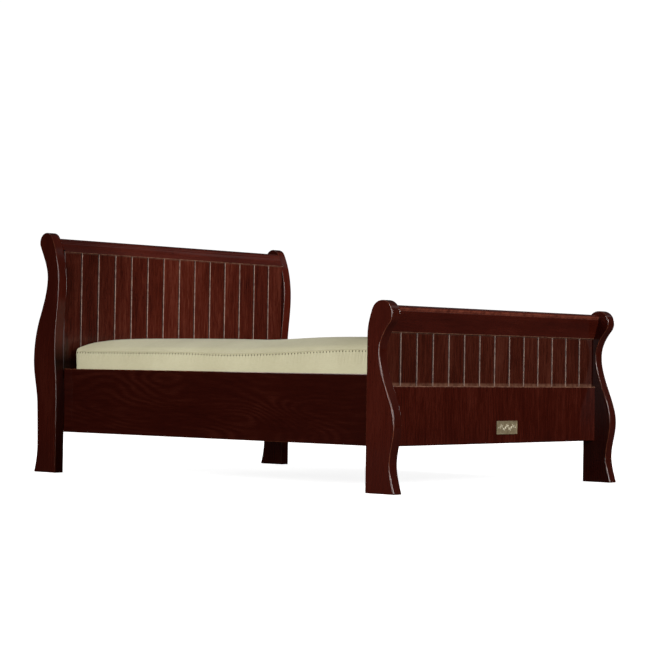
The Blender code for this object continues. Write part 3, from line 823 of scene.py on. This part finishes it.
def walk_round(centre, half_x, half_y, pitch):
    """Points round the mattress at an even pitch, each with its outward direction."""
    r = MATTRESS_CORNER
    straight_x, straight_y = 2 * (half_x - r), 2 * (half_y - r)
    quarter = math.pi / 2 * r
    total = 2 * straight_x + 2 * straight_y + 4 * quarter
    count = round(total / pitch)
    sides = [(straight_y, (half_x, r - half_y), 0), (straight_x, (half_x - r, half_y), 90),
             (straight_y, (-half_x, half_y - r), 180), (straight_x, (r - half_x, -half_y), 270)]
    points = []
    for n in range(count):
        s = total * n / count
        for length, start, degrees in sides:
            turn = math.radians(degrees)
            outward = Vector((math.cos(turn), math.sin(turn), 0.0))
            ahead = Vector((-outward.y, outward.x, 0.0))
            if s < length:
                place = Vector((*start, 0.0)) + ahead * s
                break
            s -= length
            if s < quarter:
                pivot = Vector((*start, 0.0)) + ahead * length - outward * r
                outward = outward * math.cos(s / r) + ahead * math.sin(s / r)
                place = pivot + outward * r
                break
            s -= quarter
        points.append((centre + place, outward))
    return points


def on_cover(tree, place, outward, height, reach=0.08):
    """Where a level line into the mattress first meets its cover."""
    aim = Vector((place.x, place.y, height))
    hit = tree.ray_cast(aim + outward * reach, -outward, 2 * reach)[0]
    return aim if hit is None else hit


def tube(bm, path, radius, closed=True, sides=8, level=(0, 0, 1)):
    """Round tube along a path; an open one is closed by its two end faces."""
    rings = []
    count = len(path)
    for n, point in enumerate(path):
        ahead = path[(n + 1) % count] if closed else path[min(n + 1, count - 1)]
        behind = path[n - 1] if closed else path[max(n - 1, 0)]
        along = (ahead - behind).normalized()
        across = along.cross(Vector(level)).normalized()
        up = across.cross(along)
        ring = []
        for k in range(sides):
            angle = 2 * math.pi * k / sides
            ring.append(bm.verts.new(point + radius * (math.cos(angle) * across + math.sin(angle) * up)))
        rings.append(ring)
    for n in range(count if closed else count - 1):
        bridge(bm, rings[n], rings[(n + 1) % count])
    if not closed:
        bm.faces.new(rings[0])
        bm.faces.new(rings[-1])


def add_pebble(bm, place, turn, segments):
    """Ellipsoid: the unit ball moved by turn, which also holds its half sizes."""
    bmesh.ops.create_uvsphere(bm, u_segments=segments, v_segments=6, radius=1.0,
                              matrix=Matrix.Translation(place) @ turn)


def make_mattress(ticking, tape, thread):
    centre = (MATTRESS_LOW + MATTRESS_HIGH) / 2
    half_x = (MATTRESS_HIGH.x - MATTRESS_LOW.x) / 2 - MATTRESS_INSET
    half_y = (MATTRESS_HIGH.y - MATTRESS_LOW.y) / 2 - MATTRESS_INSET
    bottom = MATTRESS_LOW.z
    bm, held = cover_mesh(centre, half_x, half_y, bottom)
    mattress = new_piece("mattress_padded", bm, ticking, body="mattress",
                         replaces=["mattress"], smooth=180.0)
    puff_up(mattress, held)
    smooth_once(mattress)
    tree = BVHTree.FromObject(mattress, bpy.context.evaluated_depsgraph_get())
    on_floor = Vector((centre.x, centre.y, 0.0))
    for name, height_of in (("top", seam_height), ("bottom", lambda x, y: bottom + BASE_SEAM_RISE)):
        path = []
        for place, outward in walk_round(on_floor, half_x, half_y, SEAM_STEP):
            path.append(on_cover(tree, place, outward, height_of(place.x, place.y) - SEAM_DROP))
        bm = bmesh.new()
        tube(bm, path, SEAM_RADIUS)
        new_piece(f"mattress_seam_{name}", bm, tape, body="mattress", smooth=180.0)
    bm = bmesh.new()
    for place, outward in walk_round(on_floor, half_x, half_y, STITCH_PITCH):
        hit = on_cover(tree, place, outward, seam_height(place.x, place.y) - STITCH_DROP)
        ahead = Vector((-outward.y, outward.x, 0.0))
        up = outward.cross(ahead)
        axes = [axis * half for axis, half in zip((ahead, up, outward), STITCH_HALVES)]
        add_pebble(bm, hit, Matrix(axes).transposed().to_4x4(), 8)
    new_piece("mattress_stitches", bm, thread, body="mattress", smooth=180.0)


# ---- fittings ----
def screw_head(bm, place, outward, radius, profile):
    """Turned screw head with a socket in its middle, standing on a surface."""
    outward = Vector(outward)
    sideways = Vector((0, 0, 1)) if abs(outward.z) < 0.5 else Vector((1, 0, 0))
    upward = outward.cross(sideways)
    rings = []
    for reach, height in profile:
        ring = []
        for k in range(SCREW_SIDES):
            angle = 2 * math.pi * k / SCREW_SIDES
            spoke = math.cos(angle) * sideways + math.sin(angle) * upward
            ring.append(bm.verts.new(Vector(place) + radius * (reach * spoke + height * outward)))
        rings.append(ring)
    for near, far in zip(rings, rings[1:]):
        bridge(bm, near, far)
    bm.faces.new(rings[0])
    bm.faces.new(rings[-1])


def make_screws(steel):
    """Screws of the corner brackets, the beam hangers and the slats."""
    fixings = bmesh.new()
    seat = BRACKET_SHEET - SEATING
    for label, side in (("left", 1), ("right", -1)):
        for end, way in (("foot", 1), ("head", -1)):
            low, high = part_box(f"corner_bracket_{end}_{label}")
            corner_x = low.x if side > 0 else high.x
            corner_y = low.y if way > 0 else high.y
            for height in (low.z + BRACKET_MARGIN, high.z - BRACKET_MARGIN):
                on_rail = (corner_x + side * seat, corner_y + way * BRACKET_MIDDLE, height)
                screw_head(fixings, on_rail, (side, 0, 0), BRACKET_SCREW, PAN_HEAD)
                on_end = (corner_x + side * BRACKET_MIDDLE, corner_y + way * seat, height)
                screw_head(fixings, on_end, (0, way, 0), BRACKET_SCREW, PAN_HEAD)
    for end in ("foot", "head"):
        low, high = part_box(f"beam_hanger_{end}")
        middle = (low.y + high.y) / 2
        for face, way in ((low.x, -1), (high.x, 1)):
            place = (face - way * SEATING, middle, low.z + HANGER_SCREW_RISE)
            screw_head(fixings, place, (way, 0, 0), HANGER_SCREW, PAN_HEAD)
    new_piece("bracket_screws", fixings, steel, smooth=40.0)
    fixings = bmesh.new()
    from_end, from_edge = SLAT_MARGINS
    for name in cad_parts:
        if name.startswith("slat_") and "ledger" not in name:
            low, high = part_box(name)
            for x in (low.x + from_end, high.x - from_end):
                for y in (low.y + from_edge, high.y - from_edge):
                    screw_head(fixings, (x, y, high.z - SEATING), (0, 0, 1), SLAT_SCREW, FLAT_HEAD)
    new_piece("slat_screws", fixings, steel, smooth=40.0)


def make_plate_ornament(brass):
    """Raised vine with leaves on the plate's sunk field, and a pin at each end."""
    low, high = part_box("name_plate")
    field = low.y + VINE_DEPTH
    middle_z = (low.z + high.z) / 2
    start, end = low.x + VINE_MARGIN, high.x - VINE_MARGIN

    def on_vine(t):
        swing = VINE_SWING * math.sin(2 * math.pi * VINE_WAVES * t)
        return Vector((start + (end - start) * t, field, middle_z + swing))

    bm = bmesh.new()
    path = [on_vine(n / VINE_POINTS) for n in range(VINE_POINTS + 1)]
    tube(bm, path, VINE_RADIUS, closed=False, level=(0, 1, 0))
    for n in range(LEAF_COUNT):
        way = 1 if n % 2 else -1
        place = on_vine((n + 0.5) / LEAF_COUNT) + Vector((0.0, 0.0, way * LEAF_OFFSET))
        tilt = Matrix.Rotation(math.radians(-LEAF_TILT * way), 4, "Y")
        add_pebble(bm, place, tilt @ Matrix.Diagonal((*LEAF_HALVES, 1.0)), 10)
    for x in (low.x + PIN_MARGIN, high.x - PIN_MARGIN):
        screw_head(bm, (x, field + SEATING, middle_z), (0, -1, 0), PLATE_PIN, PAN_HEAD)
    new_piece("name_plate_ornament", bm, brass, smooth=60.0)


# ---- carried-over nodes ----
def dress(node, material, softening):
    """Give a CAD node its material and soften its edges by a small width."""
    mesh = node.data
    mesh.materials.clear()
    mesh.materials.append(material)
    if softening:
        round_edges(node, softening, 2, 30.0)


def dress_nodes(woods, pine, steel, brass):
    """Give every CAD node that stays its finish and softened edges."""
    for name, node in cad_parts.items():
        if "_board_" in name:
            dress(node, woods[name.split("_")[0] + "_board"], 0.0008)
        elif name.startswith("side_rail"):
            dress(node, woods["side"], 0.0010)
        elif name.endswith("lower_rail"):
            dress(node, woods["lower"], 0.0010)
        elif name.startswith(("slat", "centre_beam")):
            dress(node, pine, 0.0008)
        elif name.startswith(("corner_bracket", "beam_hanger")):
            dress(node, steel, 0.0006)
        elif name == "name_plate":
            dress(node, brass, 0.0)


# ---- stage ----
def make_floor():
    """Pale floor: white where the camera looks at it, dim in what the lacquer mirrors."""
    graph = Graph("pale_floor")
    distance = graph.add("VectorMath", {0: graph.place}, operation="LENGTH").outputs["Value"]
    glow = graph.range(distance, *FLOOR_GLOW_REACH, *FLOOR_GLOW)
    tone = graph.noise(graph.place, 0.8, 2.0)
    colour = graph.ramp(tone, [(0.3, (0.90, 0.90, 0.90)), (0.7, (0.94, 0.94, 0.94))])
    pale = graph.add("BsdfDiffuse", {"Color": colour})
    light = graph.add("Emission", {"Color": (1.0, 1.0, 1.0, 1.0), "Strength": glow})
    bright = graph.add("AddShader", {0: pale.outputs[0], 1: light.outputs[0]})
    dim = graph.add("BsdfDiffuse", {"Color": (FLOOR_DIM, FLOOR_DIM, FLOOR_DIM, 1.0)})
    seen = graph.add("LightPath").outputs["Is Camera Ray"]
    material = graph.finish(graph.add("MixShader", {0: seen, 1: dim.outputs[0], 2: bright.outputs[0]}))
    bm = bmesh.new()
    bmesh.ops.create_grid(bm, x_segments=8, y_segments=8, size=FLOOR_HALF)
    mesh = bpy.data.meshes.new("studio_floor")
    bm.to_mesh(mesh)
    bm.free()
    mesh.materials.append(material)
    floor = bpy.data.objects.new("studio_floor", mesh)
    bpy.context.scene.collection.objects.link(floor)


def make_world():
    """White backdrop for the camera; dark walls and a soft bright ceiling for the lacquer."""
    world = bpy.data.worlds.new("studio")
    bpy.context.scene.world = world
    world.use_nodes = True
    tree = world.node_tree
    tree.nodes.clear()
    make, link = tree.nodes.new, tree.links.new
    direction = make("ShaderNodeTexCoord")
    split = make("ShaderNodeSeparateXYZ")
    climb = make("ShaderNodeMapRange")
    climb.interpolation_type = "SMOOTHSTEP"
    limits = {"From Min": 0.12, "From Max": 0.95, "To Min": WALL_LIGHT, "To Max": CEILING_LIGHT}
    for socket, value in limits.items():
        climb.inputs[socket].default_value = value
    room = make("ShaderNodeBackground")
    white = make("ShaderNodeBackground")
    white.inputs["Color"].default_value = (BACKDROP_WHITE, BACKDROP_WHITE, BACKDROP_WHITE, 1.0)
    path = make("ShaderNodeLightPath")
    mix = make("ShaderNodeMixShader")
    output = make("ShaderNodeOutputWorld")
    link(direction.outputs["Generated"], split.inputs[0])
    link(split.outputs["Z"], climb.inputs["Value"])
    link(climb.outputs["Result"], room.inputs["Strength"])
    link(path.outputs["Is Camera Ray"], mix.inputs[0])
    link(room.outputs[0], mix.inputs[1])
    link(white.outputs[0], mix.inputs[2])
    link(mix.outputs[0], output.inputs[0])


def make_lights():
    """Soft boxes, which the camera doesn't see."""
    for name, (place, aim, size, power) in SOFT_BOXES.items():
        light = bpy.data.lights.new(name, "AREA")
        light.shape = "RECTANGLE"
        light.size, light.size_y = size
        light.energy = power
        obj = bpy.data.objects.new(name, light)
        obj.location = place
        obj.rotation_mode = "QUATERNION"
        obj.rotation_quaternion = (Vector(aim) - Vector(place)).to_track_quat("-Z", "Y")
        obj.visible_camera = False
        bpy.context.scene.collection.objects.link(obj)


def make_camera():
    yaw, pitch, roll = (math.radians(v) for v in (CAMERA_YAW, CAMERA_PITCH, CAMERA_ROLL))
    forward = Vector((math.cos(yaw) * math.cos(pitch), math.sin(yaw) * math.cos(pitch), math.sin(pitch)))
    right = Vector((math.sin(yaw), -math.cos(yaw), 0.0))
    up = right.cross(forward)
    turned_right = math.cos(roll) * right + math.sin(roll) * up
    turned_up = -math.sin(roll) * right + math.cos(roll) * up
    camera = bpy.data.cameras.new("camera")
    camera.lens = CAMERA_LENS
    camera.sensor_width = CAMERA_SENSOR
    obj = bpy.data.objects.new("camera", camera)
    turn = Matrix((turned_right, turned_up, -forward)).transposed()
    obj.matrix_world = Matrix.Translation(CAMERA_PLACE) @ turn.to_4x4()
    bpy.context.scene.collection.objects.link(obj)
    bpy.context.scene.camera = obj


def main():
    woods = cherry_woods()
    pine = pine_material()
    steel = steel_material()
    brass = brass_material()
    make_posts(woods)
    make_crests(woods)
    ticking = ticking_material()
    tape = sewing_material("seam_tape_cloth", 700.0, (0.41, 0.370, 0.235), (0.50, 0.460, 0.310), 0.5)
    thread = sewing_material("seam_thread", 900.0, (0.045, 0.036, 0.018), (0.085, 0.068, 0.036), 0.6)
    make_mattress(ticking, tape, thread)
    make_screws(steel)
    make_plate_ornament(bright_brass_material())
    dress_nodes(woods, pine, steel, brass)
    make_floor()
    make_world()
    make_lights()
    make_camera()
    bpy.context.scene.view_settings.view_transform = "Standard"


main()
